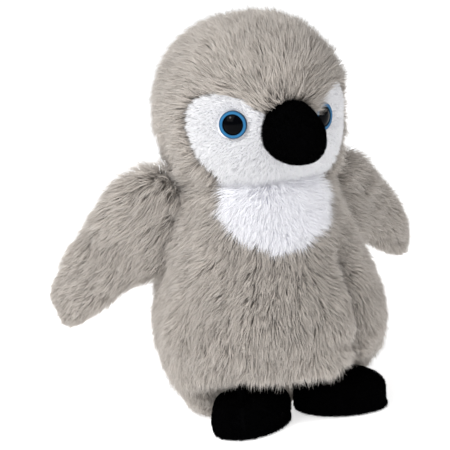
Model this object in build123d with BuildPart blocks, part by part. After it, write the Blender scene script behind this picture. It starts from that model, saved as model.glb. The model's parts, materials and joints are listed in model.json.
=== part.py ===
"""A stuffed plush penguin that stands on its own base.

The sewn cover is a set of plush panels, each a 2.5 mm thick shell: backing cloth with its
pile pressed flat. Inside are fibre fillings and a pouch of pellets that keeps the toy upright.
+Z is up, the belly faces -Y, the penguin's left side is at +X, and the origin is the middle of
the base on the surface that the toy stands on. Lengths are in millimetres, angles in degrees.
"""

import os
from math import cos, radians, sin

from build123d import *

# Cloth
COVER = 2.5  # long plush, backing and flattened pile
VELOUR = 1.5  # short black velour of the beak and feet
SLACK = 0.15  # between a filling and the cover around it
BODY_GAP = 0.6  # between pieces that move on one another

# Torso, a solid of revolution: (radius, height) from the base up to the neck
TORSO = [
    (28, 0), (33.5, 3), (38.5, 9), (43.8, 20), (47.4, 34), (48.5, 45),
    (46.8, 56), (43.2, 66), (39, 77), (34, 92), (31, 103.5),
]
BASE_SEAM = 3.5  # height of the seam round the base
BELLY_ANGLE = 32.0  # half the angle that the belly panel spans, from the front

# Neck, a ball of filling that the head turns and nods on
NECK_HEIGHT = 107.5
NECK_RADIUS = 21.5

# Head, a solid of revolution: (radius, height) from the neck up to the crown
HEAD = [(31, 110), (34.2, 115), (37.2, 124), (38.5, 136.5), (36.2, 150), (28.8, 162), (17.5, 169.9),
        (8, 172.9)]
CROWN = 173.5
HEAD_TURN = 5.5  # the head looks a little to the penguin's left
HEAD_TILT = 3.5  # and leans to the same side
GUSSET_HALF = 15.0  # half the width of the strip over the crown

# Eyes, on the two sides of the face
EYE_ANGLES = {"left": 28.5, "right": 36.0}  # from the front, set by hand and not quite even
EYE_HEIGHT = 134.0
EYE_RADIUS = 6.0
PUPIL_RADIUS = 4.5
EYE_REACH = 38.4  # from the head's axis
EYE_SEAT = 0.6  # how deep the eye is drawn into the plush
EYE_THICK = 1.6
PUPIL_RECESS, PUPIL_DOME = 0.5, 1.6
SHANK_RADIUS, SHANK_LENGTH = 2.0, 11.0
WASHER_RADIUS, WASHER_THICK, WASHER_DEPTH = 5.5, 1.0, 3.0

# Beak, a solid of revolution about its own axis: (radius, distance) from its root to its tip
BEAK = [(11, -8), (11.5, 0), (11.8, 7), (10.8, 14), (8.5, 20.5)]
BEAK_TIP = 27.5
BEAK_REACH, BEAK_HEIGHT = 34.0, 131.2  # where the beak's axis starts, inside the head
BEAK_DROOP = 12.0  # below the horizon

# Flippers, lofted through slots in an upright plane that passes in front of the torso's axis.
# Each station is its upper and lower end, as (reach along the plane, height), and its thickness
FLIPPER_SWEEP = {"left": 36.0, "right": 34.0}  # the flippers trail behind the torso's sides
FLIPPER_OFFSET = 18.0  # from the torso's axis forward to the plane
FLIPPERS = {
    "left": [
        ((30.0, 98.0), (42.6, 67.5), 5.0),
        ((42.0, 103.5), (50.5, 67.5), 9.0),
        ((57.0, 95.5), (62.0, 64.5), 11.0),
        ((73.0, 80.5), (72.5, 58.5), 10.5),
        ((84.5, 68.0), (80.5, 53.0), 8.5),
        ((90.5, 59.5), (86.0, 50.0), 5.5),
    ],
    "right": [
        ((30.0, 101.0), (42.6, 68.0), 5.0),
        ((42.0, 107.5), (50.5, 66.5), 9.0),
        ((58.0, 99.0), (62.5, 62.0), 11.0),
        ((75.0, 82.0), (73.5, 54.5), 10.5),
        ((87.0, 67.5), (81.5, 47.5), 8.5),
        ((93.5, 57.5), (88.0, 44.5), 5.5),
    ],
}

# Feet, ovals that reach out from under the belly
FEET_TWIST = 3.0  # the pair is sewn on a little askew
FOOT_SPLAY = 50.0
FOOT_CENTRE = (21.2, -24.5)
FOOT_HALF_LENGTH, FOOT_HALF_WIDTH, FOOT_HEIGHT = 20.8, 15.2, 16.0
FOOT_ROUND = 8.0  # radius between the top and the sides
FOOT_LIFT = 12.0  # how far the toes bend up

# Pellet pouch above the feet, two dished discs of cloth sewn together at the rim
POUCH_RADIUS, POUCH_HALF_HEIGHT, POUCH_HEIGHT, POUCH_CLOTH = 29.0, 12.0, 32.0, 0.8
POUCH_CURVE = (POUCH_RADIUS ** 2 + POUCH_HALF_HEIGHT ** 2) / (2 * POUCH_HALF_HEIGHT)

# Chest patch and face patches, as outlines in front view: (side, height)
CHEST = [(23, 103.5), (26, 98.5), (24.5, 91), (18, 81.5), (9.5, 76.8)]
CHEST_BOTTOM = 75.5
FACE = [(25.5, 110), (29.5, 115), (34.2, 122.5), (36.6, 136), (33.5, 146), (25.5, 150), (17, 148), (11, 142)]
FACE_MIDDLE = 134.0  # the two white patches meet below this height, behind the beak

# The torso's axis stands this far to the left of and behind the middle of the toy's footprint
SHIFT = (1.87, 6.02)

SIDES = {"left": 1, "right": -1}
FAR = 80.0  # reach of the cutting tools, past every surface

OUTWARD = (Align.CENTER, Align.CENTER, Align.MIN)
INWARD = (Align.CENTER, Align.CENTER, Align.MAX)

HEAD_PLANE = Plane.XY.rotated((0, 0, HEAD_TURN))
HEAD_FORWARD = Vector(sin(radians(HEAD_TURN)), -cos(radians(HEAD_TURN)), 0)
HEAD_FRONT = Plane((0, 0, 0), x_dir=HEAD_PLANE.x_dir, z_dir=HEAD_FORWARD)
TORSO_FRONT = Plane((0, 0, 0), x_dir=(1, 0, 0), z_dir=(0, -1, 0))


def inset(points, depth):
    """The outline moved inwards by depth, square to the line through each point's neighbours."""
    moved = []
    for i, (r, z) in enumerate(points):
        before, after = points[max(i - 1, 0)], points[min(i + 1, len(points) - 1)]
        along = Vector(after[0] - before[0], after[1] - before[1]).normalized()
        moved.append((r - depth * along.Y, z + depth * along.X))
    return moved


def torso_solid(depth=0.0):
    """The torso's outer form, or the form at that depth below it, open through the neck plane."""
    neck = TORSO[-1]
    shape = inset(TORSO[1:-1], depth)
    base = (TORSO[0][0] - 0.5 * depth, depth)
    top = (neck[0] - depth, neck[1])
    with BuildPart() as form:
        with BuildSketch(Plane.XZ):
            with BuildLine():
                side = Spline(base, *shape, top)
                Polyline(side @ 1, (0, neck[1]), (0, depth), side @ 0)
            make_face()
        revolve(axis=Axis.Z)
    return form.part


def head_solid(depth=0.0):
    """The head's outer form, or the form at that depth below it, flat at the neck."""
    shape = inset(HEAD, depth)
    start = (shape[0][0], HEAD[0][1])
    with BuildPart() as form:
        with BuildSketch(Plane.XZ):
            with BuildLine():
                dome = Spline(start, *shape[1:], (0, CROWN - depth))
                Polyline(dome @ 1, (0, HEAD[0][1]), dome @ 0)
            make_face()
        revolve(axis=Axis.Z)
    return form.part


def beak_solid(depth=0.0):
    """The beak about +Z of its own plane, root to tip."""
    with BuildPart(BEAK_PLANE) as form:
        with BuildSketch(Plane(BEAK_PLANE.origin, x_dir=BEAK_PLANE.x_dir, z_dir=-BEAK_PLANE.y_dir)):
            with BuildLine():
                root, *rest = inset(BEAK, depth)
                side = Spline(root, *rest, (0, BEAK_TIP - depth), tangents=((0.1, 1), (-1, 0)))
                Polyline(side @ 1, (0, root[1]), side @ 0)
            make_face()
        revolve(axis=Axis(BEAK_PLANE.origin, BEAK_PLANE.z_dir))
    return form.part


def pouch_space(depth):
    """The pellet pouch's lens-shaped form, or the form at that depth below its surface."""
    rise = POUCH_CURVE - POUCH_HALF_HEIGHT
    with BuildPart() as form:
        with Locations((0, 0, POUCH_HEIGHT + rise)):
            Sphere(POUCH_CURVE - depth)
        with Locations((0, 0, POUCH_HEIGHT - rise)):
            Sphere(POUCH_CURVE - depth, mode=Mode.INTERSECT)
    return form.part


def write(form, label, tilt=0.0):
    """Sets a finished piece in its place, labels it and writes it as one STEP file."""
    neck = Axis((0, 0, NECK_HEIGHT), HEAD_FORWARD)
    placed = form.part.rotate(neck, -tilt).moved(Location((*SHIFT, 0)))
    placed.label = label
    export_step(placed, f"parts/{label}.step")


def eye_plane(name):
    """The tangent plane of the head at one eye."""
    turn = radians(HEAD_TURN + SIDES[name] * EYE_ANGLES[name])
    outward = Vector(sin(turn), -cos(turn), 0)
    return Plane(outward * EYE_REACH + Vector(0, 0, EYE_HEIGHT), x_dir=(0, 0, 1), z_dir=outward)


def foot_plane(side, lift=0.0):
    """The plane of one sole, from the back of the heel with x towards the toe."""
    turn = radians(FEET_TWIST + side * FOOT_SPLAY - 90)
    toe, up = Vector(cos(turn), sin(turn), 0), Vector(0, 0, 1)
    centre = Vector(side * FOOT_CENTRE[0], FOOT_CENTRE[1], 0).rotate(Axis.Z, FEET_TWIST)
    rise = radians(lift)
    ahead, above = toe * cos(rise) + up * sin(rise), up * cos(rise) - toe * sin(rise)
    return Plane(centre - toe * FOOT_HALF_LENGTH, x_dir=ahead, z_dir=above)


def flipper_plane(name):
    """The upright plane of one flipper, x outwards and y up."""
    side, turn = SIDES[name], radians(FLIPPER_SWEEP[name])
    outward = Vector(side * cos(turn), sin(turn), 0)
    origin = Vector(side * sin(turn), -cos(turn), 0) * FLIPPER_OFFSET
    return Plane(origin, x_dir=outward, z_dir=outward.cross(Vector(0, 0, 1)))


def flipper_solid(name, stations, depth=0.0):
    """The flipper lofted through its stations, or the form at that depth below it."""
    face = flipper_plane(name)
    with BuildPart() as form:
        for upper, lower, thick in stations:
            top, bottom = face.from_local_coords(upper), face.from_local_coords(lower)
            chord = bottom - top
            across = Plane((top + bottom) / 2, x_dir=chord, z_dir=chord.cross(face.z_dir))
            with BuildSketch(across):
                SlotOverall(chord.length - 2 * depth, thick - 2 * depth)
        loft()
    return form.part


BEAK_PLANE = Plane(
    HEAD_FORWARD * BEAK_REACH + Vector(0, 0, BEAK_HEIGHT),
    x_dir=HEAD_PLANE.x_dir,
    z_dir=HEAD_FORWARD * cos(radians(BEAK_DROOP)) - Vector(0, 0, sin(radians(BEAK_DROOP))),
)

os.makedirs("parts", exist_ok=True)

# Forms that the pieces are cut from

TORSO_OUTER = torso_solid()
TORSO_INNER = torso_solid(COVER)
HEAD_OUTER = head_solid()
HEAD_INNER = head_solid(COVER)

with BuildPart() as feet_room:
    for side in SIDES.values():
        for lift, start in ((0.0, 0.0), (FOOT_LIFT, BASE_SEAM)):
            with BuildSketch(foot_plane(side, lift).offset(start)):
                with Locations((FOOT_HALF_LENGTH, 0)):
                    Ellipse(FOOT_HALF_LENGTH + BODY_GAP, FOOT_HALF_WIDTH + BODY_GAP)
            extrude(amount=FOOT_HEIGHT + BODY_GAP - start)

with BuildPart() as chest_cutter:
    with BuildSketch(TORSO_FRONT):
        with BuildLine():
            outline = Spline(*CHEST, (0, CHEST_BOTTOM), tangents=((1, -1), (-1, 0)))
            Polyline(outline @ 1, (0, NECK_HEIGHT), (CHEST[0][0], NECK_HEIGHT), outline @ 0)
        make_face()
        mirror(about=Plane.YZ)
    extrude(amount=FAR)

with BuildPart() as face_cutter_left:
    with BuildSketch(HEAD_FRONT):
        with BuildLine():
            rim = Spline(*FACE, tangents=((0.3, 1), (-0.5, -1)))
            Polyline(rim @ 1, (0, FACE_MIDDLE), (0, FACE[0][1] - 1), (FACE[0][0], FACE[0][1] - 1), rim @ 0)
        make_face()
    extrude(amount=FAR)

with BuildPart() as face_cutter_right:
    add(face_cutter_left.part.mirror(Plane((0, 0, 0), x_dir=(0, 0, 1), z_dir=HEAD_PLANE.x_dir)))

with BuildPart() as torso_cover:
    add(TORSO_OUTER)
    add(TORSO_INNER, mode=Mode.SUBTRACT)
    add(feet_room.part, mode=Mode.SUBTRACT)

with BuildPart() as belly_wedge:
    with BuildSketch(Plane.XY.offset(BASE_SEAM)):
        with BuildLine():
            edge = FAR * sin(radians(BELLY_ANGLE)), -FAR * cos(radians(BELLY_ANGLE))
            Polyline((0, 0), edge, (FAR, -FAR), (-FAR, -FAR), (-edge[0], edge[1]), (0, 0))
        make_face()
    extrude(amount=CROWN)

# Torso

with BuildPart() as base_panel:
    add(torso_cover.part)
    split(bisect_by=Plane.XY.offset(BASE_SEAM), keep=Keep.BOTTOM)
write(base_panel, "base_panel")

with BuildPart() as belly_panel:
    add(torso_cover.part)
    add(belly_wedge.part, mode=Mode.INTERSECT)
    add(chest_cutter.part, mode=Mode.SUBTRACT)
write(belly_panel, "belly_panel")

with BuildPart() as chest_patch:
    add(torso_cover.part)
    add(chest_cutter.part, mode=Mode.INTERSECT)
write(chest_patch, "chest_patch")

for name, side in SIDES.items():
    with BuildPart() as side_panel:
        add(torso_cover.part)
        split(bisect_by=Plane.XY.offset(BASE_SEAM), keep=Keep.TOP)
        add(belly_wedge.part, mode=Mode.SUBTRACT)
        add(chest_cutter.part, mode=Mode.SUBTRACT)
        split(bisect_by=Plane.YZ, keep=Keep.TOP if side > 0 else Keep.BOTTOM)
    write(side_panel, f"side_panel_{name}")

with BuildPart() as pellets:
    add(pouch_space(POUCH_CLOTH))
write(pellets, "pellets")

for name, end in (("pouch_bottom", Keep.BOTTOM), ("pouch_top", Keep.TOP)):
    with BuildPart() as pouch_disc:
        add(pouch_space(0))
        add(pouch_space(POUCH_CLOTH), mode=Mode.SUBTRACT)
        split(bisect_by=Plane.XY.offset(POUCH_HEIGHT), keep=end)
    write(pouch_disc, name)

with BuildPart() as torso_filling:
    add(torso_solid(COVER + SLACK))
    add(feet_room.part, mode=Mode.SUBTRACT)
    add(pouch_space(0), mode=Mode.SUBTRACT)
    with Locations((0, 0, NECK_HEIGHT)):
        Sphere(NECK_RADIUS + BODY_GAP, mode=Mode.SUBTRACT)
write(torso_filling, "torso_filling")

# Neck

with BuildPart() as neck_filling:
    with Locations((0, 0, NECK_HEIGHT)):
        Sphere(NECK_RADIUS)
write(neck_filling, "neck_filling")

# Eyes

with BuildPart() as eye_room:
    for name in SIDES:
        with Locations(eye_plane(name)):
            with Locations((0, 0, -EYE_SEAT)):
                Cylinder(EYE_RADIUS, EYE_THICK, align=OUTWARD)
                Cylinder(SHANK_RADIUS, SHANK_LENGTH, align=INWARD)

with BuildPart() as washer_room:
    for name in SIDES:
        with Locations(eye_plane(name)):
            with Locations((0, 0, -WASHER_DEPTH)):
                Cylinder(WASHER_RADIUS, WASHER_THICK, align=INWARD)

for name in SIDES:
    with BuildPart(eye_plane(name)) as eye_base:
        with Locations((0, 0, -EYE_SEAT)):
            Cylinder(EYE_RADIUS, EYE_THICK, align=OUTWARD)
            Cylinder(SHANK_RADIUS, SHANK_LENGTH, align=INWARD)
        with Locations((0, 0, EYE_THICK - EYE_SEAT)):
            Cylinder(PUPIL_RADIUS, PUPIL_RECESS, align=INWARD, mode=Mode.SUBTRACT)
        fillet(eye_base.edges().filter_by(GeomType.CIRCLE).group_by(SortBy.RADIUS)[-1], 0.4)
    write(eye_base, f"eye_base_{name}", HEAD_TILT)

    with BuildPart(eye_plane(name)) as eye_pupil:
        foot = EYE_THICK - EYE_SEAT - PUPIL_RECESS
        curve = (PUPIL_RADIUS ** 2 + PUPIL_DOME ** 2) / (2 * PUPIL_DOME)
        with Locations((0, 0, foot + PUPIL_DOME - curve)):
            Sphere(curve)
        split(bisect_by=eye_plane(name).offset(foot), keep=Keep.TOP)
    write(eye_pupil, f"eye_pupil_{name}", HEAD_TILT)

    with BuildPart(eye_plane(name)) as eye_washer:
        with Locations((0, 0, -WASHER_DEPTH)):
            Cylinder(WASHER_RADIUS, WASHER_THICK, align=INWARD)
            Cylinder(SHANK_RADIUS, WASHER_THICK, align=INWARD, mode=Mode.SUBTRACT)
    write(eye_washer, f"eye_washer_{name}", HEAD_TILT)

# Head

with BuildPart() as head_cover:
    add(HEAD_OUTER)
    add(HEAD_INNER, mode=Mode.SUBTRACT)
    add(eye_room.part, mode=Mode.SUBTRACT)

with BuildPart(HEAD_PLANE) as gusset_slab:
    Box(2 * GUSSET_HALF, 2 * FAR, 2 * CROWN, align=OUTWARD)

for name, cutter in {"left": face_cutter_left, "right": face_cutter_right}.items():
    with BuildPart() as face_patch:
        add(head_cover.part)
        add(cutter.part, mode=Mode.INTERSECT)
    write(face_patch, f"face_patch_{name}", HEAD_TILT)

with BuildPart() as fur_cover:
    add(head_cover.part)
    add(face_cutter_left.part, mode=Mode.SUBTRACT)
    add(face_cutter_right.part, mode=Mode.SUBTRACT)

with BuildPart() as head_gusset:
    add(fur_cover.part)
    add(gusset_slab.part, mode=Mode.INTERSECT)
write(head_gusset, "head_gusset", HEAD_TILT)

for name, side in SIDES.items():
    middle = Plane((0, 0, 0), x_dir=(0, 0, 1), z_dir=HEAD_PLANE.x_dir * side)
    with BuildPart() as head_side:
        add(fur_cover.part)
        split(bisect_by=middle.offset(GUSSET_HALF), keep=Keep.TOP)
    write(head_side, f"head_side_{name}", HEAD_TILT)

with BuildPart() as head_filling:
    add(head_solid(COVER + SLACK))
    add(eye_room.part, mode=Mode.SUBTRACT)
    add(washer_room.part, mode=Mode.SUBTRACT)
    with Locations((0, 0, NECK_HEIGHT)):
        Sphere(NECK_RADIUS + BODY_GAP, mode=Mode.SUBTRACT)
write(head_filling, "head_filling", HEAD_TILT)

# Beak

BEAK_MIDDLE = Plane(BEAK_PLANE.origin, x_dir=BEAK_PLANE.x_dir, z_dir=BEAK_PLANE.y_dir)

for name, keep in {"upper": Keep.TOP, "lower": Keep.BOTTOM}.items():
    with BuildPart() as beak_half:
        add(beak_solid())
        add(beak_solid(VELOUR), mode=Mode.SUBTRACT)
        add(HEAD_OUTER, mode=Mode.SUBTRACT)
        split(bisect_by=BEAK_MIDDLE, keep=keep)
    write(beak_half, f"beak_{name}", HEAD_TILT)

with BuildPart() as beak_filling:
    add(beak_solid(VELOUR + SLACK))
    add(HEAD_OUTER, mode=Mode.SUBTRACT)
write(beak_filling, "beak_filling", HEAD_TILT)

# Flippers

for name, side in SIDES.items():
    face, stations = flipper_plane(name), FLIPPERS[name]
    top, bottom = face.from_local_coords(stations[0][0]), face.from_local_coords(stations[0][1])
    root = Plane((top + bottom) / 2, x_dir=face.z_dir, z_dir=bottom - top)
    with BuildPart() as flipper_cover:
        add(flipper_solid(name, stations))
        with Locations(root):
            Cylinder(stations[0][2] / 2, (bottom - top).length - stations[0][2])
        add(flipper_solid(name, stations[1:-1], COVER), mode=Mode.SUBTRACT)

    for layer, keep in {"front": Keep.TOP, "back": Keep.BOTTOM}.items():
        with BuildPart() as flipper_panel:
            add(flipper_cover.part)
            split(bisect_by=face if side > 0 else -face, keep=keep)
        write(flipper_panel, f"flipper_{layer}_{name}")

    with BuildPart() as flipper_filling:
        add(flipper_solid(name, stations[1:-1], COVER + SLACK))
    write(flipper_filling, f"flipper_filling_{name}")

# Feet

for name, side in SIDES.items():
    with BuildPart() as foot_form:
        with BuildSketch(foot_plane(side)):
            with Locations((FOOT_HALF_LENGTH, 0)):
                Ellipse(FOOT_HALF_LENGTH, FOOT_HALF_WIDTH)
        extrude(amount=FOOT_HEIGHT)
        fillet(foot_form.edges().group_by(Axis.Z)[-1], FOOT_ROUND)

    with BuildPart() as foot_hollow:
        with BuildSketch(foot_plane(side).offset(VELOUR)):
            with Locations((FOOT_HALF_LENGTH, 0)):
                Ellipse(FOOT_HALF_LENGTH - VELOUR, FOOT_HALF_WIDTH - VELOUR)
        extrude(amount=FOOT_HEIGHT - 2 * VELOUR)
        fillet(foot_hollow.edges().group_by(Axis.Z)[-1], FOOT_ROUND - VELOUR)

    with BuildPart() as foot_sole:
        add(foot_form.part)
        split(bisect_by=Plane.XY.offset(VELOUR), keep=Keep.BOTTOM)
    write(foot_sole, f"foot_sole_{name}")

    with BuildPart() as foot_upper:
        add(foot_form.part)
        split(bisect_by=Plane.XY.offset(VELOUR), keep=Keep.TOP)
        add(foot_hollow.part, mode=Mode.SUBTRACT)
    write(foot_upper, f"foot_upper_{name}")

    write(foot_hollow, f"foot_filling_{name}")
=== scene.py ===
"""The looks of a plush penguin: stuffed skins, long pile, velour, eyes and studio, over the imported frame.

Lengths are in metres. The penguin faces -Y and its left side is at +X. Every skin is a closed stuffed
form that follows its CAD panels, and every panel's pile is a mesh of single strands rooted in a skin.
"""

import json
from math import asin, cos, pi, radians, sin
from typing import NamedTuple

import bmesh
import bpy
import numpy as np
from mathutils import Matrix, Vector
from mathutils.bvhtree import BVHTree
from mathutils.kdtree import KDTree


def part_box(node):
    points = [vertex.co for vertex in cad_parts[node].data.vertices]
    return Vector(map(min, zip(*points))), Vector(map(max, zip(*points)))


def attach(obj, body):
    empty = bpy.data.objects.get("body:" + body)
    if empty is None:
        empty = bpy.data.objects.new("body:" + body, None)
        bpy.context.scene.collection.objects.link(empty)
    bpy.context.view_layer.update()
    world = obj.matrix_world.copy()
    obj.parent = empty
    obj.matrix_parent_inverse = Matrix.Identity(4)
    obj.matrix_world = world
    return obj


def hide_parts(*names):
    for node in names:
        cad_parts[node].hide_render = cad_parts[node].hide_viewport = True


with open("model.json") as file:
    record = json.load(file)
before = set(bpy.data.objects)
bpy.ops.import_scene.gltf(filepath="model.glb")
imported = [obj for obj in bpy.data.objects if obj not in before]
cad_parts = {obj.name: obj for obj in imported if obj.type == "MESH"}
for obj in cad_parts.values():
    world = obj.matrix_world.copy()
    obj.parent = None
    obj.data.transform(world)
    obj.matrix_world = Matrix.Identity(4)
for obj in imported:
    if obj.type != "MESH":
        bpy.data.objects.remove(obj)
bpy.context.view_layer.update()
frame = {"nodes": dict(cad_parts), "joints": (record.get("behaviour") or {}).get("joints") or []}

MM = 0.001
FAR = 0.2  # a distance that is outside the toy on every side
FLOOR_GAP = 0.3 * MM  # between the lowest hair and the floor
SIDES = {"left": 1, "right": -1}
NODES = frame["nodes"]
JOINTS = {joint["name"]: joint for joint in frame["joints"]}
RNG = np.random.default_rng(11)

PIVOT = np.array(JOINTS["head_nod"]["pos_m"])
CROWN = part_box("head_gusset")[1].z
UP = np.array([0.0, 0.0, 1.0])


# Reading the frame

def unit(v):
    """A vector, or rows of vectors, at length one."""
    return v / np.maximum(np.linalg.norm(v, axis=-1, keepdims=True), 1e-12)


def middle(node):
    low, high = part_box(node)
    return np.array((low + high) / 2)


def joined(nodes):
    """One mesh of several CAD nodes at rest."""
    whole = bmesh.new()
    for node in nodes:
        whole.from_mesh(NODES[node].data)
    mesh = bpy.data.meshes.new("joined")
    whole.to_mesh(mesh)
    whole.free()
    return mesh


def tree(mesh):
    """A search tree over a mesh's faces."""
    whole = bmesh.new()
    whole.from_mesh(mesh)
    found = BVHTree.FromBMesh(whole)
    whole.free()
    return found


def radii(nodes, origin, axes, angles, heights):
    """Mean distance of the CAD panels from an upright line, at each height above origin."""
    panels = tree(joined(nodes))
    found = []
    for height in heights:
        reach = []
        for angle in angles:
            outward = axes @ np.array([sin(angle), -cos(angle), 0.0])
            start = origin + axes @ np.array([0, 0, height]) + outward * FAR
            hit = panels.ray_cast(Vector(start), Vector(-outward))
            if hit[0] is not None:
                reach.append(FAR - hit[3])
        found.append(np.median(reach) if reach else np.nan)
    return np.array(found)


def head_axes():
    """The head's own left, back and up directions as columns, with the lean of its eyes."""
    across = np.array(JOINTS["head_nod"]["axis"])
    between = middle("eye_pupil_left") - middle("eye_pupil_right")
    slope = between[2] / np.linalg.norm(between[:2])
    forward = unit(np.cross(across, UP))
    left = unit(across + slope * UP)
    return np.stack([left, -forward, np.cross(forward, left)], 1)


HEAD = head_axes()
UPRIGHT = np.eye(3)
TORSO_FOOT = np.array([PIVOT[0], PIVOT[1], 0.0])
EYES = {name: middle(f"eye_base_{name}") for name in SIDES}


# Mesh helpers

def smoothstep(low, high, x):
    t = np.clip((x - low) / (high - low), 0, 1)
    return t * t * (3 - 2 * t)


def waves(points, size, seed, layers=7):
    """Smooth noise of about the given size, from -1 to 1, the same in every run."""
    rng = np.random.default_rng(seed)
    ways = rng.normal(size=(layers, 3)) * (2 * pi / size) * 0.55
    turns = rng.uniform(0, 2 * pi, layers)
    return np.sin(points @ ways.T + turns).sum(1) / layers ** 0.5 * 0.8


def mesh_object(name, points, faces, smooth=True):
    mesh = bpy.data.meshes.new(name)
    mesh.from_pydata([tuple(p) for p in points], [], [tuple(f) for f in faces])
    mesh.polygons.foreach_set("use_smooth", np.full(len(mesh.polygons), smooth))
    mesh.update()
    piece = bpy.data.objects.new(name, mesh)
    bpy.context.scene.collection.objects.link(piece)
    return piece


def resample(path, count):
    """The (radius, height) path with its points evenly spaced along it."""
    path = np.array(path)
    steps = np.r_[0, np.cumsum(np.hypot(*np.diff(path, axis=0).T))]
    along = np.linspace(0, steps[-1], count)
    return np.stack([np.interp(along, steps, path[:, i]) for i in (0, 1)], 1)


def soften(path, times):
    """Rounds the corners of a path and keeps its ends."""
    for _ in range(times):
        path[1:-1] = path[1:-1] * 0.5 + (path[:-2] + path[2:]) * 0.25
    return path


def lathe(name, path, origin, axes, columns=168):
    """A closed form of revolution about the third of the axes."""
    angles = np.linspace(-pi, pi, columns, endpoint=False)
    around = np.stack([np.sin(angles), -np.cos(angles), np.zeros(columns)], 1)
    rings = path[1:-1]
    local = rings[:, 0, None, None] * around + rings[:, 1, None, None] * UP
    ends = np.array([[0, 0, path[0, 1]], [0, 0, path[-1, 1]]])
    points = origin + np.vstack([local.reshape(-1, 3), ends]) @ axes.T
    rows, faces = len(rings), []
    for i in range(rows - 1):
        for j in range(columns):
            k = (j + 1) % columns
            faces.append((i * columns + j, i * columns + k, (i + 1) * columns + k, (i + 1) * columns + j))
    low, high = rows * columns, rows * columns + 1
    for j in range(columns):
        k = (j + 1) % columns
        faces.append((low, k, j))
        faces.append((high, (rows - 1) * columns + j, (rows - 1) * columns + k))
    return mesh_object(name, points, faces)


def evaluated(piece):
    """Applies the piece's modifiers."""
    view = bpy.context.evaluated_depsgraph_get()
    mesh = bpy.data.meshes.new_from_object(piece.evaluated_get(view))
    piece.modifiers.clear()
    piece.data = mesh
    mesh.polygons.foreach_set("use_smooth", np.ones(len(mesh.polygons), bool))
    return piece


def stuffed(name, nodes, voxel, smoothing, swell=0.0):
    """One closed form over several CAD nodes, with its edges rounded as stuffing rounds them."""
    piece = bpy.data.objects.new(name, joined(nodes))
    bpy.context.scene.collection.objects.link(piece)
    remesh = piece.modifiers.new("one_skin", "REMESH")
    remesh.mode, remesh.voxel_size = "VOXEL", voxel
    relax = piece.modifiers.new("round", "SMOOTH")
    relax.factor, relax.iterations = 0.5, smoothing
    evaluated(piece)
    if swell:
        push(piece, np.full(len(piece.data.vertices), swell))
    return piece


def coordinates(piece):
    flat = np.empty(len(piece.data.vertices) * 3)
    piece.data.vertices.foreach_get("co", flat)
    return flat.reshape(-1, 3)


def normals(piece):
    flat = np.empty(len(piece.data.vertices) * 3)
    piece.data.vertices.foreach_get("normal", flat)
    return flat.reshape(-1, 3)


def place(piece, points):
    piece.data.vertices.foreach_set("co", points.ravel())
    piece.data.update()
    return piece


def push(piece, amounts):
    """Moves each point along its own normal."""
    return place(piece, coordinates(piece) + normals(piece) * amounts[:, None])


def depth_in(mesh, points, reach=12 * MM):
    """How far each point lies inside a closed mesh, or minus its distance outside, up to a reach."""
    search = tree(mesh)
    found = np.full(len(points), -reach)
    low, high = spread(mesh)
    for i in np.flatnonzero(((points > low - reach) & (points < high + reach)).all(1)):
        spot, normal, _, distance = search.find_nearest(Vector(points[i]), reach)
        if spot is not None:
            found[i] = distance if (Vector(points[i]) - spot).dot(normal) < 0 else -distance
    return found


def spread(mesh):
    """Lowest and highest corner of a mesh."""
    flat = np.empty(len(mesh.vertices) * 3)
    mesh.vertices.foreach_get("co", flat)
    flat = flat.reshape(-1, 3)
    return flat.min(0), flat.max(0)


WHITE_PANELS = ("chest_patch", "face_patch_left", "face_patch_right")
PATCH_MARGIN = 2.6 * MM  # white pile spreads over its seams, so its roots keep this far off them


def nearest_panel(points, nodes):
    """The index of the CAD panel that each point lies on."""
    gaps = [np.abs(depth_in(NODES[node].data, points, 40 * MM)) for node in nodes]
    margins = [PATCH_MARGIN if node in WHITE_PANELS else 0 for node in nodes]
    return np.stack([gap + margin for gap, margin in zip(gaps, margins)]).argmin(0)


# Skins

SKIN_DEPTH = 1.5 * MM  # the cloth lies this far inside the CAD cover, and the pile stands outside it


def torso_path():
    """The torso's outline as (radius, height), from the middle of its base to the middle of its neck."""
    heights = np.linspace(4, 100, 40) * MM
    angles = [radians(a) for a in (150, 165, 180, 195, 210)]
    reach = radii(("side_panel_left", "side_panel_right"), TORSO_FOOT, UPRIGHT, angles, heights)
    low = 1.6 * MM
    base = [(0, low), (0.5 * reach[0], low), (reach[0] - 8 * MM, low), (reach[0] - 3.5 * MM, 2.4 * MM)]
    side = list(zip(reach - SKIN_DEPTH, heights))
    neck = PIVOT[2]
    shoulder = [(29.3 * MM, neck - 4 * MM), (27 * MM, neck - 1.8 * MM)]
    top = [*shoulder, (22 * MM, neck - 0.6 * MM), (0, neck - 0.3 * MM)]
    return soften(resample(base + side + top, 120), 6)


TORSO_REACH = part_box("side_panel_left")[1].x - PIVOT[0]
BELLY_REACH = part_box("belly_panel")[1].x - PIVOT[0]
BELLY_SEAM = asin(BELLY_REACH / TORSO_REACH)  # angle of the belly seams from the front
HEM_HEIGHT = 27 * MM  # of the belly's lower edge, above the feet
SEAM_DEPTH = {"left": 6.2 * MM, "right": 1.7 * MM}
SEAM_WIDTH = 4.2 * MM
BACK_SEAM_DEPTH, BACK_SEAM_WIDTH = 1.6 * MM, 3 * MM
BELLY_SWELL = HIP_SWELL = 2.2 * MM
HIP_ANGLE = 1.08  # of the middle of each hip from the front
PUCKER_DEPTH = 1.9 * MM  # of the wandering creases low on the belly


def torso_polar(points):
    """Angle from the front, distance from the torso's axis and height."""
    local = points - TORSO_FOOT
    return np.arctan2(local[:, 0], -local[:, 1]), np.hypot(local[:, 0], local[:, 1]), local[:, 2]


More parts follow.
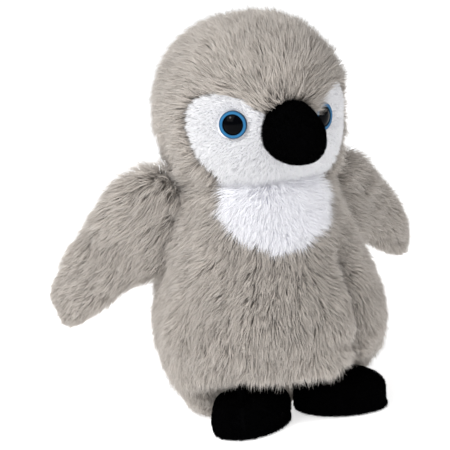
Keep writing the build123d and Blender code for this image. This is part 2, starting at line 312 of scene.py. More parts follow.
def seam_gap(points, side):
    """Distance round the torso from one belly seam, which bows outward at the height of the hips."""
    angle, reach, height = torso_polar(points)
    bow = 0.08 * np.sin(pi * np.clip(height / (70 * MM), 0, 1))
    wander = 1.6 * MM * waves(points, 40 * MM, 91)
    return np.abs((angle - side * (BELLY_SEAM + bow)) * reach + wander)


def shape_torso():
    """Sets the torso down on its feet, draws its seams and creases in and swells the belly and hips."""
    rest_on(torso_skin, foot_skins.values(), 1.0 * MM)
    points = coordinates(torso_skin)
    angle, reach, _ = torso_polar(points)
    front = (1 - smoothstep(1.1, 1.5, np.abs(angle))) * smoothstep(12 * MM, 24 * MM, reach)
    points[:, 2] = np.maximum(points[:, 2], HEM_HEIGHT * front)
    place(torso_skin, points)
    relax = torso_skin.modifiers.new("settle", "SMOOTH")
    relax.factor, relax.iterations = 0.5, 8
    evaluated(torso_skin)
    points = coordinates(torso_skin)
    angle, reach, height = torso_polar(points)
    held = smoothstep(10 * MM, 24 * MM, height) * (1 - smoothstep(58 * MM, 84 * MM, height))
    move = 0.8 * MM * waves(points, 34 * MM, 3) * smoothstep(14 * MM, 26 * MM, height)
    move += BELLY_SWELL * np.exp(-(angle / 0.34) ** 2 - ((height - 38 * MM) / (15 * MM)) ** 2)
    for name, side in SIDES.items():
        move -= SEAM_DEPTH[name] * held * np.exp(-((seam_gap(points, side) / SEAM_WIDTH) ** 2))
        hip = (angle - side * HIP_ANGLE) / 0.38
        move += HIP_SWELL * np.exp(-hip ** 2 - ((height - 36 * MM) / (16 * MM)) ** 2)
    back = np.abs(np.abs(angle) - pi) * reach
    move -= BACK_SEAM_DEPTH * held * np.exp(-((back / BACK_SEAM_WIDTH) ** 2))
    pucker = np.exp(-((waves(points, 30 * MM, 97) / 0.17) ** 2)) * (np.abs(angle) < 1.7)
    move -= PUCKER_DEPTH * pucker * held * smoothstep(60 * MM, 44 * MM, height)
    push(torso_skin, move)


def head_path():
    """The head's outline as (radius, height) over the neck, in the head's own axes."""
    heights = np.linspace(5, 62, 30) * MM
    angles = [radians(a) for a in (130, 155, 180, 205, 230)]
    nodes = ("head_side_left", "head_side_right", "head_gusset")
    reach = radii(nodes, PIVOT, HEAD, angles, heights) - 0.6 * MM
    top = CROWN - PIVOT[2] - 0.6 * MM
    chin = [(0, 0.3 * MM), (22 * MM, 0.5 * MM), (27 * MM, 1 * MM), (30 * MM, 2.6 * MM)]
    crown = [(8 * MM, top - 0.6 * MM), (0, top)]
    return soften(resample(chin + list(zip(reach, heights)) + crown, 120), 5)


EYE_DEPTH, EYE_HOLLOW = 2.6 * MM, 8.5 * MM  # how far an eye is drawn in, and how far round it that reaches
CHEEK_SWELL = 1.2 * MM


def shape_head():
    """Swells the cheeks, draws the eyes in and leaves the stuffing a little uneven."""
    points = coordinates(head_skin)
    local = (points - PIVOT) @ HEAD
    move = 0.5 * MM * waves(points, 30 * MM, 5)
    for name, side in SIDES.items():
        off = np.linalg.norm(points - EYES[name], axis=1)
        move -= EYE_DEPTH * np.exp(-((off / EYE_HOLLOW) ** 2))
        cheek = np.array([side * 24 * MM, -25 * MM, 12 * MM])
        move += CHEEK_SWELL * np.exp(-((np.linalg.norm(local - cheek, axis=1) / (12 * MM)) ** 2))
    push(head_skin, move)


def rest_on(skin, others, gap):
    """Lifts a skin's underside clear of what it stands on."""
    points = coordinates(skin)
    for other in others:
        search = tree(other.data)
        low, high = spread(other.data)
        inside = (points[:, :2] > low[:2]).all(1) & (points[:, :2] < high[:2]).all(1)
        for i in np.flatnonzero(inside & (points[:, 2] < high[2] + gap)):
            top = search.ray_cast(Vector((*points[i, :2], high[2] + 1 * MM)), Vector((0, 0, -1)))[0]
            if top is not None:
                points[i, 2] = max(points[i, 2], top.z + gap)
    place(skin, points)


torso_skin = lathe("torso_skin", torso_path(), TORSO_FOOT, UPRIGHT)
head_skin = lathe("head_skin", head_path(), PIVOT, HEAD)
beak_skin = stuffed("beak_skin", ("beak_upper", "beak_lower", "beak_filling"), 1.0 * MM, 10, 0.6 * MM)
flipper_skins, foot_skins = {}, {}
for name in SIDES:
    panels = (f"flipper_front_{name}", f"flipper_back_{name}", f"flipper_filling_{name}")
    flipper_skins[name] = stuffed(f"flipper_skin_{name}", panels, 1.4 * MM, 6, 0.3 * MM)
    parts = (f"foot_upper_{name}", f"foot_sole_{name}", f"foot_filling_{name}")
    foot_skins[name] = stuffed(f"foot_skin_{name}", parts, 1.1 * MM, 6, 0.3 * MM)


def shape_foot(name, side):
    """Gathers the foot's top towards its toe and leaves a fold over the sole."""
    skin = foot_skins[name]
    points = coordinates(skin)
    heel = np.array(JOINTS[f"foot_{name}_flex"]["pos_m"])
    hinge = np.array(JOINTS[f"foot_{name}_flex"]["axis"])
    toe = np.cross(UP, hinge)
    along, across, height = (points - heel) @ toe, (points - heel) @ hinge, points[:, 2]
    upper = smoothstep(0.5 * MM, 5 * MM, height)
    move = 0.55 * MM * waves(points, 13 * MM, 21 + side) * upper
    fold = np.exp(-(((height - 3.2 * MM) / (1.1 * MM)) ** 2))
    move -= 0.7 * MM * fold * (0.7 + 0.3 * waves(points, 20 * MM, 31 + side))
    crease = (across - 2 * MM * np.sin(along / (9 * MM))) / (1.6 * MM)
    move -= 0.7 * MM * np.exp(-crease ** 2) * smoothstep(28 * MM, 40 * MM, along) * upper
    push(skin, move)
    points = coordinates(skin)
    points[:, 2] = np.maximum(points[:, 2], 0.8 * MM)
    place(skin, points)


def shape_beak():
    """Leaves the velour a little uneven."""
    push(beak_skin, 0.35 * MM * waves(coordinates(beak_skin), 12 * MM, 41))


SHOULDER_RISE = {"left": 0.5 * MM, "right": 3.8 * MM}  # the stuffing stands up under the shoulder's seam


def shape_flipper(name, side):
    """Leaves a flipper's stuffing a little uneven and raises its shoulder."""
    skin = flipper_skins[name]
    points = coordinates(skin)
    root = np.array(JOINTS[f"flipper_{name}_swing"]["pos_m"])
    reach = np.linalg.norm((points - root)[:, :2], axis=1)
    move = 0.8 * MM * waves(points, 22 * MM, 51 + side) * smoothstep(4 * MM, 14 * MM, reach)
    push(skin, move)
    points = coordinates(skin)
    low, high = points[:, 2].min(), points[:, 2].max()
    upper = smoothstep(low + 0.35 * (high - low), high, points[:, 2])
    points[:, 2] += SHOULDER_RISE[name] * upper
    place(skin, points)


for name, side in SIDES.items():
    shape_foot(name, side)
    shape_flipper(name, side)
shape_beak()
shape_torso()
shape_head()


# Pile: how each kind of hair grows

class Style(NamedTuple):
    """How one kind of hair grows."""
    length: float
    spread: float  # share by which the length varies
    root: float  # degrees between the skin's normal and the hair's lower half
    tip: float  # and its upper half
    radius: float
    clump: float  # share by which the hairs of a clump are drawn to its first hair
    density: float  # hairs on each square metre


STYLES = {
    "long": Style(8.4 * MM, 0.3, 35, 72, 0.115 * MM, 0.42, 4.2e6),
    "crown": Style(8.6 * MM, 0.3, 33, 70, 0.115 * MM, 0.36, 4.2e6),
    "flipper": Style(7.8 * MM, 0.3, 37, 72, 0.115 * MM, 0.42, 4.2e6),
    "chest": Style(7.2 * MM, 0.25, 35, 72, 0.1 * MM, 0.25, 6.2e6),
    "face": Style(3.9 * MM, 0.2, 32, 66, 0.11 * MM, 0.3, 7.5e6),
    "base": Style(4.0 * MM, 0.3, 62, 86, 0.2 * MM, 0.3, 1.2e6),
    "velour": Style(1.15 * MM, 0.25, 25, 50, 0.09 * MM, 0.2, 5.5e6),
}
THIN = 1.0
MOST_HAIRS = 19000  # in one piece
CLUMP = 12  # hairs for each clump, on average
ROOT_DEPTH = 0.4 * MM  # of a hair's foot under the skin
HAIR_POINTS = 7  # three at the foot, three at the bend, one at the tip
SWIRL, SWIRL_SIZE, STRAY = radians(22), 15 * MM, radians(12)  # slow turns of the pile, and each hair's own
RUFFLE, RUFFLE_SIZE, RAISE = radians(9), 11 * MM, radians(11)  # the same for how far the hairs stand up


def scatter(skin, density):
    """Roots spread evenly over a skin, with their normals."""
    mesh = skin.data
    mesh.calc_loop_triangles()
    corners = np.empty(len(mesh.loop_triangles) * 3, np.int32)
    mesh.loop_triangles.foreach_get("vertices", corners)
    corners = corners.reshape(-1, 3)
    points, facing = coordinates(skin), normals(skin)
    a, b, c = (points[corners[:, i]] for i in range(3))
    areas = np.linalg.norm(np.cross(b - a, c - a), axis=1) / 2
    count = int(areas.sum() * density * THIN)
    chosen = np.searchsorted(np.cumsum(areas), RNG.uniform(0, areas.sum(), count))
    u, v = RNG.uniform(size=(2, count, 1))
    flip = (u + v > 1)
    u, v = np.where(flip, 1 - u, u), np.where(flip, 1 - v, v)
    weights = (1 - u - v, u, v)
    roots = sum(w * points[corners[chosen, i]] for i, w in enumerate(weights))
    out = unit(sum(w * facing[corners[chosen, i]] for i, w in enumerate(weights)))
    return roots, out


def kept_out(points, skins, gap):
    """Moves points that lie inside other skins out to just above them."""
    for skin in skins:
        search = tree(skin.data)
        low, high = spread(skin.data)
        for i in np.flatnonzero(((points > low) & (points < high)).all(1)):
            spot, normal, _, _ = search.find_nearest(Vector(points[i]))
            if (Vector(points[i]) - spot).dot(normal) < gap:
                points[i] = np.array(spot + normal * gap)


def hair_paths(roots, out, comb, scale, look):
    """The foot, bend and tip of each hair, combed along the skin in slow swirls."""
    count = len(roots)
    length = look.length * scale * (1 + look.spread * RNG.uniform(-1, 1, count))
    swirl = SWIRL * waves(roots, SWIRL_SIZE, 61) + STRAY * RNG.normal(size=count)
    comb = unit(comb - out * (comb * out).sum(1, keepdims=True))
    aside = np.cross(out, comb)
    way = comb * np.cos(swirl)[:, None] + aside * np.sin(swirl)[:, None]
    lift = RUFFLE * waves(roots, RUFFLE_SIZE, 67) + RAISE * RNG.normal(size=count)
    first, last = radians(look.root) + lift, radians(look.tip) + lift
    step = length[:, None] * 0.5
    foot = roots - out * ROOT_DEPTH
    bend = roots + step * (np.cos(first)[:, None] * out + np.sin(first)[:, None] * way)
    tip = bend + step * (np.cos(last)[:, None] * out + np.sin(last)[:, None] * way)
    return foot, bend, tip


def clump_leads(roots):
    """For each hair, the hair that leads its clump."""
    heads = np.arange(0, len(roots), CLUMP)
    nearby = KDTree(len(heads))
    for k, i in enumerate(heads):
        nearby.insert(Vector(roots[i]), k)
    nearby.balance()
    return heads[[nearby.find(Vector(point))[1] for point in roots]]


def prisms(foot, bend, tip, out, radius):
    """The points of tapered three-sided hairs, hair by hair."""
    count = len(foot)
    width = radius / THIN ** 0.5 * RNG.uniform(0.75, 1.25, count)
    turn = RNG.uniform(0, 2 * pi, count)
    along = unit(bend - foot)
    one = unit(np.cross(along, out + 0.01))
    two = np.cross(along, one)
    corners = []
    for centre, size in ((foot, 1.0), (bend, 0.9)):
        for k in range(3):
            a = (turn + k * 2 * pi / 3)[:, None]
            corners.append(centre + (width * size)[:, None] * (np.cos(a) * one + np.sin(a) * two))
    points = np.stack(corners + [tip], 1).reshape(-1, 3)
    points[:, 2] = np.maximum(points[:, 2], 0.1 * MM)
    return points


def hair_mesh(name, points):
    """One mesh of closed hairs from the points that prisms gives."""
    start = np.arange(len(points) // HAIR_POINTS)[:, None, None] * HAIR_POINTS
    quads = (start + np.array([[0, 1, 4, 3], [1, 2, 5, 4], [2, 0, 3, 5]])).reshape(-1, 4)
    tris = (start + np.array([[3, 4, 6], [4, 5, 6], [5, 3, 6], [0, 2, 1]])).reshape(-1, 3)
    mesh = bpy.data.meshes.new(name)
    mesh.vertices.add(len(points))
    mesh.vertices.foreach_set("co", points.ravel())
    loops = np.concatenate([quads.ravel(), tris.ravel()]).astype(np.int32)
    mesh.loops.add(len(loops))
    mesh.loops.foreach_set("vertex_index", loops)
    starts = np.concatenate([np.arange(len(quads)) * 4, len(quads) * 4 + np.arange(len(tris)) * 3])
    mesh.polygons.add(len(starts))
    mesh.polygons.foreach_set("loop_start", starts.astype(np.int32))
    mesh.polygons.foreach_set("use_smooth", np.ones(len(starts), bool))
    mesh.update(calc_edges=True)
    return mesh


def strands(name, roots, out, comb, scale, style, material, neighbours):
    """A piece of tapered hairs, bent along comb, gathered into clumps and kept out of the neighbours."""
    look, count = STYLES[style], len(roots)
    foot, bend, tip = hair_paths(roots, out, comb, scale, look)
    lead = clump_leads(roots)
    pull = (look.clump * RNG.uniform(0.4, 1.2, count))[:, None]
    tip = tip + (tip[lead] - tip) * pull
    bend = bend + (bend[lead] - bend) * pull * 0.3
    for end, gap in ((bend, 0.4 * MM), (tip, 0.8 * MM)):
        kept_out(end, neighbours, gap)
        end[:, 2] = np.maximum(end[:, 2], FLOOR_GAP)

    mesh = hair_mesh(name, prisms(foot, bend, tip, out, look.radius))
    along = mesh.attributes.new("along", "FLOAT", "POINT")
    along.data.foreach_set("value", np.tile(np.array([0, 0, 0, 0.55, 0.55, 0.55, 1.0], np.float32), count))
    tone = 0.55 * RNG.uniform(-1, 1, count) + 0.45 * RNG.uniform(-1, 1, count)[lead]
    tint = mesh.attributes.new("tone", "FLOAT", "POINT")
    tint.data.foreach_set("value", np.repeat(tone, HAIR_POINTS).astype(np.float32))
    mesh.materials.append(material)
    piece = bpy.data.objects.new(name, mesh)
    bpy.context.scene.collection.objects.link(piece)
    return piece


# Materials

class Shader:
    """A new material with its Principled shader and short calls for the nodes that feed it."""

    def __init__(self, name, roughness=0.8, **constants):
        self.material = bpy.data.materials.new(name)
        self.material.use_nodes = True
        self.tree = self.material.node_tree
        self.surface = self.tree.nodes["Principled BSDF"]
        self.surface.inputs["Roughness"].default_value = roughness
        for socket, value in constants.items():
            self.surface.inputs[socket.replace("_", " ")].default_value = value

    def node(self, kind, **values):
        made = self.tree.nodes.new(f"ShaderNode{kind}")
        for key, value in values.items():
            if key in made.inputs:
                made.inputs[key].default_value = value
            else:
                setattr(made, key, value)
        return made

    def link(self, out, into):
        self.tree.links.new(out, into)

    def attribute(self, name):
        return self.node("Attribute", attribute_name=name).outputs["Fac"]

    def position(self):
        return self.node("TexCoord").outputs["Object"]

    def noise(self, scale, detail=3.0, roughness=0.5):
        made = self.node("TexNoise", Scale=scale, Detail=detail, Roughness=roughness)
        self.link(self.position(), made.inputs["Vector"])
        return made.outputs["Fac"]

    def math(self, operation, a, b):
        made = self.node("Math", operation=operation)
        for socket, value in zip(made.inputs, (a, b)):
            if isinstance(value, (int, float)):
                socket.default_value = value
            else:
                self.link(value, socket)
        return made.outputs[0]

    def ramp(self, factor, stops):
        made = self.node("ValToRGB")
        line = made.color_ramp
        while len(line.elements) < len(stops):
            line.elements.new(0.5)
        for element, (position, colour) in zip(line.elements, stops):
            element.position, element.color = position, (*colour, 1)
        self.link(factor, made.inputs["Fac"])
        return made.outputs["Color"]

    def blend(self, factor, a, b, kind="MIX"):
        made = self.node("Mix", data_type="RGBA", blend_type=kind)
        for socket, value in zip((made.inputs[0], made.inputs[6], made.inputs[7]), (factor, a, b)):
            if isinstance(value, (int, float)):
                socket.default_value = value
            elif isinstance(value, tuple):
                socket.default_value = (*value, 1)
            else:
                self.link(value, socket)
        return made.outputs[2]

    def colour(self, value):
        self.link(value, self.surface.inputs["Base Color"])

    def bump(self, height, distance, strength=0.6):
        made = self.node("Bump", Distance=distance, Strength=strength)
        self.link(height, made.inputs["Height"])
        self.link(made.outputs["Normal"], self.surface.inputs["Normal"])


def pile_material(name, root, body, tip, spread, mottle, roughness=0.75, sheen=0.15, gloss=0.25, painted_glow=0.0):
    """Hair whose colour goes from root to tip, with the roots darkened partly as painted shade, and uneven
    from hair to hair and from place to place.

    The glow is painted light: an emission that makes pale hair glow though it is no lamp, in place of the
    light that thin pale hairs let through.
    """
    look = Shader(name, roughness, Sheen_Weight=sheen, Sheen_Roughness=0.6, Specular_IOR_Level=gloss)
    # Painted light: this emission, at the glow's strength, makes pale hair glow though it is no lamp.
    look.surface.inputs["Emission Color"].default_value = (0.92, 0.92, 1.0, 1)
    look.surface.inputs["Emission Strength"].default_value = painted_glow
    # Painted shade: the darker roots stand in for the shade deep in the pile, and partly for the cloth's
    # frosted tips.
    base = look.ramp(look.attribute("along"), [(0.0, root), (0.5, body), (1.0, tip)])
    tone = look.math("MULTIPLY_ADD", look.attribute("tone"), spread)
    tone.node.inputs[2].default_value = 1.0
    patch = look.math("MULTIPLY_ADD", look.noise(50, 2), mottle)
    patch.node.inputs[2].default_value = 1.0 - mottle / 2
    both = look.math("MULTIPLY", tone, patch)
    look.colour(look.blend(1.0, base, both, "MULTIPLY"))
    return look.material


def cloth_material(name, dark, light, scale=900, roughness=0.95, pale=None):
    """Backing cloth: a fine uneven knit, of the pale colour where the skin's "pale" attribute is 1."""
    look = Shader(name, roughness, Sheen_Weight=0.1, Specular_IOR_Level=0.1)
    grain = look.noise(scale, 4, 0.7)
    knit = look.ramp(grain, [(0.3, dark), (0.7, light)])
    look.colour(look.blend(look.attribute("pale"), knit, pale) if pale else knit)
    look.bump(grain, 0.2 * MM)
    return look.material


def velour_material(name):
    """Dense black velour with no gloss."""
    look = Shader(name, 1.0, Specular_IOR_Level=0.02)
    patch = look.noise(160, 4, 0.6)
    look.colour(look.ramp(patch, [(0.25, (0.0003, 0.0003, 0.0004)), (0.8, (0.001, 0.001, 0.0013))]))
    look.bump(look.noise(2600, 2), 0.15 * MM, 0.5)
    return look.material


# Root, middle and tip colours of each pile: the darker roots are partly painted shade and partly the
# cloth's frosted tips.
GREY_PILE = pile_material(
    "grey_pile", (0.38, 0.34, 0.305), (0.53, 0.48, 0.435), (0.68, 0.63, 0.58), 0.15, 0.24)
# The white and face piles carry a painted glow, an emission that brightens them though they are no lamp.
WHITE_PILE = pile_material(
    "white_pile", (0.86, 0.86, 0.90), (0.90, 0.90, 0.93), (0.92, 0.92, 0.94), 0.01, 0.02,
    sheen=0.4, painted_glow=0.14)
FACE_PILE = pile_material(
    "face_pile", (0.74, 0.74, 0.75), (0.79, 0.79, 0.80), (0.82, 0.82, 0.83), 0.01, 0.02,
    sheen=0.3, painted_glow=0.12)
VELOUR_PILE = pile_material(
    "velour_pile", (0.0002, 0.0002, 0.0003), (0.0005, 0.0005, 0.0007), (0.0012, 0.0012, 0.0016), 0.3, 0.2,
    roughness=1.0, sheen=0.0, gloss=0.02)
GREY_CLOTH = cloth_material("grey_cloth", (0.27, 0.24, 0.21), (0.38, 0.34, 0.3), pale=(0.88, 0.88, 0.92))
VELOUR = velour_material("black_velour")
for skin in (torso_skin, head_skin, *flipper_skins.values()):
    skin.data.materials.append(GREY_CLOTH)
for skin in (beak_skin, *foot_skins.values()):
    skin.data.materials.append(VELOUR)

LOOKS = {  # the material and the record's slot of each kind of pile
    "grey": (GREY_PILE, "grey_plush"),
    "white": (WHITE_PILE, "white_plush"),
    "face": (FACE_PILE, "white_plush"),
    "black": (VELOUR_PILE, "black_velour"),
}


# Where each panel's pile lies and which way it is brushed

def brushed_torso(points):
    """Down the body, and outward from the middle of the chest and back."""
    angle = np.arctan2(points[:, 0] - TORSO_FOOT[0], -(points[:, 1] - TORSO_FOOT[1]))
    aside = np.stack([np.cos(angle), np.sin(angle), np.zeros(len(angle))], 1)
    lean = 0.2 + 0.75 * smoothstep(30 * MM, 95 * MM, points[:, 2])
    return aside * (np.tanh(2.2 * np.sin(angle)) * lean)[:, None] - UP


def brushed_base(points):
    return unit(points - TORSO_FOOT)


def brushed_head(points):
    """From the beak back over the crown and cheeks, and down the back of the head."""
    behind = ((points - PIVOT) @ HEAD)[:, 1]
    down = 0.12 + 0.95 * smoothstep(-12 * MM, 22 * MM, behind)
    return unit(points - BEAK_ROOT) - down[:, None] * HEAD[:, 2]


def brushed_face(points):
    """Away from the root of the beak, and a little down."""
    return unit(points - BEAK_ROOT) - 0.35 * HEAD[:, 2]


def brushed_beak(points):
    return np.tile(BEAK_TIP - BEAK_ROOT, (len(points), 1))


def brushed_flipper(name):
    root = np.array(JOINTS[f"flipper_{name}_swing"]["pos_m"])
    way = unit(farthest(flipper_skins[name], root) - root) - 0.04 * UP
    return lambda points: np.tile(way, (len(points), 1))


def brushed_foot(name):
    heel = np.array(JOINTS[f"foot_{name}_flex"]["pos_m"])
    return lambda points: unit(points - heel) - 0.6 * UP


def farthest(skin, origin):
    points = coordinates(skin)
    return points[np.argmax(np.linalg.norm(points - origin, axis=1))]


BEAK_TIP = farthest(beak_skin, PIVOT + HEAD @ np.array([0, 0, 25 * MM]))
BEAK_ROOT = middle("beak_filling") + 0.35 * (middle("beak_filling") - BEAK_TIP)


def even(points):
    return np.ones(len(points))


def grow(skin, body, panels, neighbours, bare=None, shortening=even):
    """Covers a skin with the pile of its CAD panels: {node: (style, look, brushing)}."""
    names = list(panels)
    densest = max(STYLES[style].density for style, _, _ in panels.values())
    roots, out = scatter(skin, densest)
    keep = np.ones(len(roots), bool) if bare is None else ~bare(roots)
    for other in neighbours:
        keep &= depth_in(other.data, roots, 3 * MM) < -0.2 * MM
    roots, out = roots[keep], out[keep]
    panel = nearest_panel(roots, names)
    for k, node in enumerate(names):
        style, look, brushing = panels[node]
        mine = np.flatnonzero(panel == k)
        mine = mine[RNG.uniform(size=len(mine)) < STYLES[style].density / densest]
        material, slot = LOOKS[look]
        for batch, share in enumerate(np.array_split(mine, len(mine) // MOST_HAIRS + 1)):
            here = roots[share]
            combed = (brushing(here), shortening(here))
            piece = strands(f"{node}_pile_{batch}", here, out[share], *combed, style, material, neighbours)
            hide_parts(node)
            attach(piece, body)


def short_torso(points):
    """Shorter pile in the deeper seam and over the feet."""
    share = 0.55 + 0.45 * smoothstep(1.5 * MM, 7 * MM, seam_gap(points, SIDES["left"]))
    share = np.maximum(share, smoothstep(62 * MM, 76 * MM, points[:, 2]))
    share *= 1 + 0.2 * smoothstep(94 * MM, 103 * MM, points[:, 2])
    near = np.full(len(points), 20 * MM)
    for skin in foot_skins.values():
        near = np.minimum(near, -depth_in(skin.data, points, 14 * MM))
    return share * (0.35 + 0.65 * smoothstep(1 * MM, 14 * MM, near))


EYE_PILE = {"left": 0.85, "right": 0.5}  # share of the pile left next to each eye


def short_head(points):
    """Short pile round the eyes, and long pile that hangs over the neck's seam."""
    height = ((points - PIVOT) @ HEAD)[:, 2]
    share = 1.35 - 0.35 * smoothstep(2 * MM, 14 * MM, height)
    for name, eye in EYES.items():
        close = 1 - smoothstep(6.5 * MM, 13 * MM, np.linalg.norm(points - eye, axis=1))
        share *= 1 + (EYE_PILE[name] - 1) * close
    return share


def short_flipper(name):
    """Shorter pile at the end of a flipper, and longer pile over its shoulder's seam."""
    root = np.array(JOINTS[f"flipper_{name}_swing"]["pos_m"])
    tip = farthest(flipper_skins[name], root)
    span = np.linalg.norm(tip - root)

    def share(points):
        reach = (points - root) @ unit(tip - root) / span
        return 1 - 0.45 * smoothstep(0.62, 1.0, reach) + 0.3 * smoothstep(0.35, 0.1, reach)

    return share


def hidden_neck(points):
    """Whether each root is between the head and the torso, where nothing shows."""
    reach = np.linalg.norm(points[:, :2] - PIVOT[:2], axis=1)
    return (np.abs(points[:, 2] - PIVOT[2]) < 3 * MM) & (reach < 24 * MM)


EYE_ROOM = {"left": 5.9 * MM, "right": 6.5 * MM}  # bare radius round each eye: fur meets the left one's rim


def under_eye(points):
    """Whether each root is under an eye or in the hidden part of the neck."""
    bare = hidden_neck(points)
    for name, eye in EYES.items():
        bare |= np.linalg.norm(points - eye, axis=1) < EYE_ROOM[name]
    return bare


torso_panels = {
    "belly_panel": ("long", "grey", brushed_torso),
    "side_panel_left": ("long", "grey", brushed_torso),
    "side_panel_right": ("long", "grey", brushed_torso),
    "chest_patch": ("chest", "white", brushed_torso),
    "base_panel": ("base", "grey", brushed_base),
}
head_panels = {
    "head_gusset": ("crown", "grey", brushed_head),
    "head_side_left": ("crown", "grey", brushed_head),
    "head_side_right": ("crown", "grey", brushed_head),
    "face_patch_left": ("face", "face", brushed_face),
    "face_patch_right": ("face", "face", brushed_face),
}
around_torso = [*foot_skins.values(), *flipper_skins.values()]
grow(torso_skin, "torso", torso_panels, around_torso, hidden_neck, short_torso)
grow(head_skin, "head", head_panels, [beak_skin], under_eye, short_head)
beak_panels = {node: ("velour", "black", brushed_beak) for node in ("beak_upper", "beak_lower")}
grow(beak_skin, "head", beak_panels, [head_skin])
for name in SIDES:
    sides = (f"flipper_front_{name}", f"flipper_back_{name}")
    wing = {node: ("flipper", "grey", brushed_flipper(name)) for node in sides}
    grow(flipper_skins[name], f"flipper_{name}", wing, [torso_skin], shortening=short_flipper(name))
    sides = (f"foot_upper_{name}", f"foot_sole_{name}")
    foot = {node: ("velour", "black", brushed_foot(name)) for node in sides}
    grow(foot_skins[name], f"foot_{name}", foot, [torso_skin])


def paint_pale(skin, panels):
    """Marks the parts of a skin that lie under white panels."""
    names = list(panels)
    panel = nearest_panel(coordinates(skin), names)
    pale = np.isin(panel, [k for k, node in enumerate(names) if node in WHITE_PANELS]).astype(np.float32)
    skin.data.attributes.new("pale", "FLOAT", "POINT").data.foreach_set("value", pale)


paint_pale(torso_skin, torso_panels)
paint_pale(head_skin, head_panels)


def stuffing(piece, body, node):
    """Puts a stuffed form in place of a CAD node, which it hides, and fixes it to its body."""
    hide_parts(node)
    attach(piece, body)


stuffing(torso_skin, "torso", "torso_filling")
stuffing(head_skin, "head", "head_filling")
stuffing(beak_skin, "head", "beak_filling")
for name in SIDES:
    stuffing(flipper_skins[name], f"flipper_{name}", f"flipper_filling_{name}")
    stuffing(foot_skins[name], f"foot_{name}", f"foot_filling_{name}")


# Eyes

def dress(node, material):
    """Gives a carried-over CAD node its material."""
    NODES[node].data.materials.clear()
    NODES[node].data.materials.append(material)


def ring_material(name, centre, axis, stops, roughness, **constants):
    """Moulded plastic whose colour depends on the distance from an axis."""
    look = Shader(name, roughness, **constants)
    offset = look.node("VectorMath", operation="SUBTRACT")
    look.link(look.position(), offset.inputs[0])
    offset.inputs[1].default_value = centre
    across = look.node("VectorMath", operation="CROSS_PRODUCT")
    look.link(offset.outputs[0], across.inputs[0])
    across.inputs[1].default_value = axis
    reach = look.node("VectorMath", operation="LENGTH")
    look.link(across.outputs[0], reach.inputs[0])
    share = look.math("DIVIDE", reach.outputs["Value"], EYE_RADIUS)
    cloudy = look.math("MULTIPLY_ADD", look.noise(1400, 2), 0.02)
    cloudy.node.inputs[2].default_value = -0.01
    look.colour(look.ramp(look.math("ADD", share, cloudy), stops))
    look.bump(look.noise(2500, 2), 0.02 * MM, 0.15)
    return look.material


EYE_RADIUS = (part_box("eye_base_left")[1].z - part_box("eye_base_left")[0].z) / 2
BLUE = [
    (0.0, (0.0, 0.0, 0.0)),
    (0.74, (0.008, 0.07, 0.16)),
    (0.83, (0.02, 0.15, 0.32)),
    (0.93, (0.012, 0.1, 0.22)),
    (0.99, (0.004, 0.015, 0.04)),
]
BLACK = [(0.0, (0.0002, 0.0004, 0.001)), (0.7, (0.0004, 0.0006, 0.0015)), (0.78, (0.0003, 0.0003, 0.0006))]
for name in SIDES:
    axis = unit(middle(f"eye_pupil_{name}") - middle(f"eye_washer_{name}"))
    centre = middle(f"eye_pupil_{name}")
    blue = ring_material(f"eye_blue_{name}", centre, axis, BLUE, 0.42, Specular_IOR_Level=0.2)
    black = ring_material(f"eye_black_{name}", centre, axis, BLACK, 0.05, Specular_IOR_Level=0.045)
    dress(f"eye_base_{name}", blue)
    dress(f"eye_pupil_{name}", black)


# Inside: the neck's filling, the pellet pouch and the eye washers

CALICO = cloth_material("pouch_cloth", (0.55, 0.5, 0.42), (0.72, 0.68, 0.6), 700)
FIBRE = cloth_material("fibre_filling", (0.6, 0.6, 0.6), (0.85, 0.85, 0.86), 260)
BEADS = Shader("pellet_plastic", 0.35, Specular_IOR_Level=0.5)
BEADS.colour(BEADS.ramp(BEADS.noise(300, 2), [(0.3, (0.5, 0.52, 0.55)), (0.7, (0.8, 0.82, 0.84))]))
WASHER = Shader("washer_plastic", 0.5)
WASHER.colour(WASHER.ramp(WASHER.noise(500, 3), [(0.3, (0.55, 0.55, 0.53)), (0.7, (0.75, 0.75, 0.73))]))

neck_skin = stuffed("neck_skin", ("neck_filling",), 1.6 * MM, 6)
push(neck_skin, 0.8 * MM * waves(coordinates(neck_skin), 14 * MM, 71))
neck_skin.data.materials.append(FIBRE)
stuffing(neck_skin, "neck", "neck_filling")

for node in ("pouch_bottom", "pouch_top"):
    disc = stuffed(f"{node}_cloth", (node,), 0.7 * MM, 2)
    push(disc, 0.15 * MM * waves(coordinates(disc), 9 * MM, 81))
    disc.data.materials.append(CALICO)
    stuffing(disc, "torso", node)
dress("pellets", BEADS.material)
for name in SIDES:
    dress(f"eye_washer_{name}", WASHER.material)


# Studio

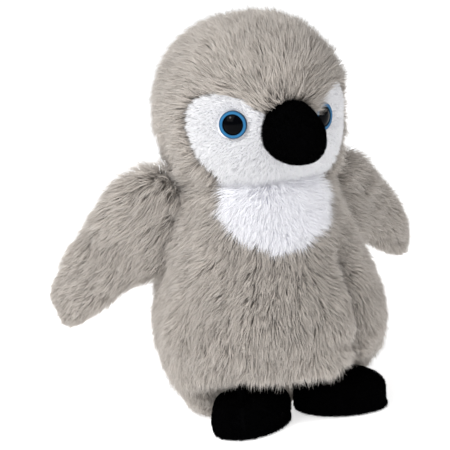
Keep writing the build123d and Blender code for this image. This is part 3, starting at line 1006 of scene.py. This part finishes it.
FLOOR = Shader("floor_white", 0.9, Specular_IOR_Level=0.0)
FLOOR.colour(FLOOR.ramp(FLOOR.noise(3, 2), [(0.0, (0.9, 0.9, 0.9)), (1.0, (0.92, 0.92, 0.92))]))
FLOOR.surface.inputs["Emission Color"].default_value = (1, 1, 1, 1)
FLOOR.surface.inputs["Emission Strength"].default_value = 0.64
FLOOR_RADIUS, FLOOR_CORNERS = 9.0, 64
turns = np.linspace(0, 2 * pi, FLOOR_CORNERS, endpoint=False)
edge = [(FLOOR_RADIUS * cos(a), FLOOR_RADIUS * sin(a), 0) for a in turns]
floor = mesh_object("floor", edge, [range(FLOOR_CORNERS)], smooth=False)
floor.data.materials.append(FLOOR.material)

world = bpy.data.worlds.new("studio")
world.use_nodes = True
sky = world.node_tree.nodes["Background"]
sky.inputs["Color"].default_value = (1, 1, 1, 1)
sky.inputs["Strength"].default_value = 0.5
bpy.context.scene.world = world
bpy.context.scene.view_settings.view_transform = "Standard"

TARGET = Vector((PIVOT[0], PIVOT[1], 0.085))
AZIMUTH, ELEVATION, ROLL = radians(-18), radians(12.5), radians(5.5)
DISTANCE = 0.85
BACK = Vector((sin(AZIMUTH) * cos(ELEVATION), -cos(AZIMUTH) * cos(ELEVATION), sin(ELEVATION)))


def lamp(name, azimuth, elevation, distance, size, power):
    """A square white light that points at the toy, at an azimuth from its front towards its left."""
    light = bpy.data.lights.new(name, "AREA")
    light.shape, light.size, light.energy = "SQUARE", size, power
    holder = bpy.data.objects.new(name, light)
    a, e = radians(azimuth), radians(elevation)
    way = Vector((sin(a) * cos(e), -cos(a) * cos(e), sin(e)))
    holder.location = TARGET + way * distance
    holder.rotation_euler = way.to_track_quat("Z", "Y").to_euler()
    bpy.context.scene.collection.objects.link(holder)


# The key is broad and soft, and the small core beside it leaves the catch-light in the eyes.
lamp("key", -60, 44, 1.1, 0.9, 7.1)
lamp("core", -62, 46, 1.1, 0.2, 4.6)
lamp("fill", 50, 25, 1.3, 0.9, 1.2)

camera_data = bpy.data.cameras.new("camera")
camera_data.sensor_width, camera_data.lens = 36, 152.8
camera_data.shift_x, camera_data.shift_y = -0.0744, -0.010
camera = bpy.data.objects.new("camera", camera_data)
right = Vector((cos(AZIMUTH), sin(AZIMUTH), 0))
turn = Matrix((right, BACK.cross(right), BACK)).transposed().to_4x4()
camera.matrix_world = Matrix.Translation(TARGET + BACK * DISTANCE) @ turn @ Matrix.Rotation(-ROLL, 4, "Z")
bpy.context.scene.collection.objects.link(camera)
bpy.context.scene.camera = camera

bpy.context.view_layer.update()
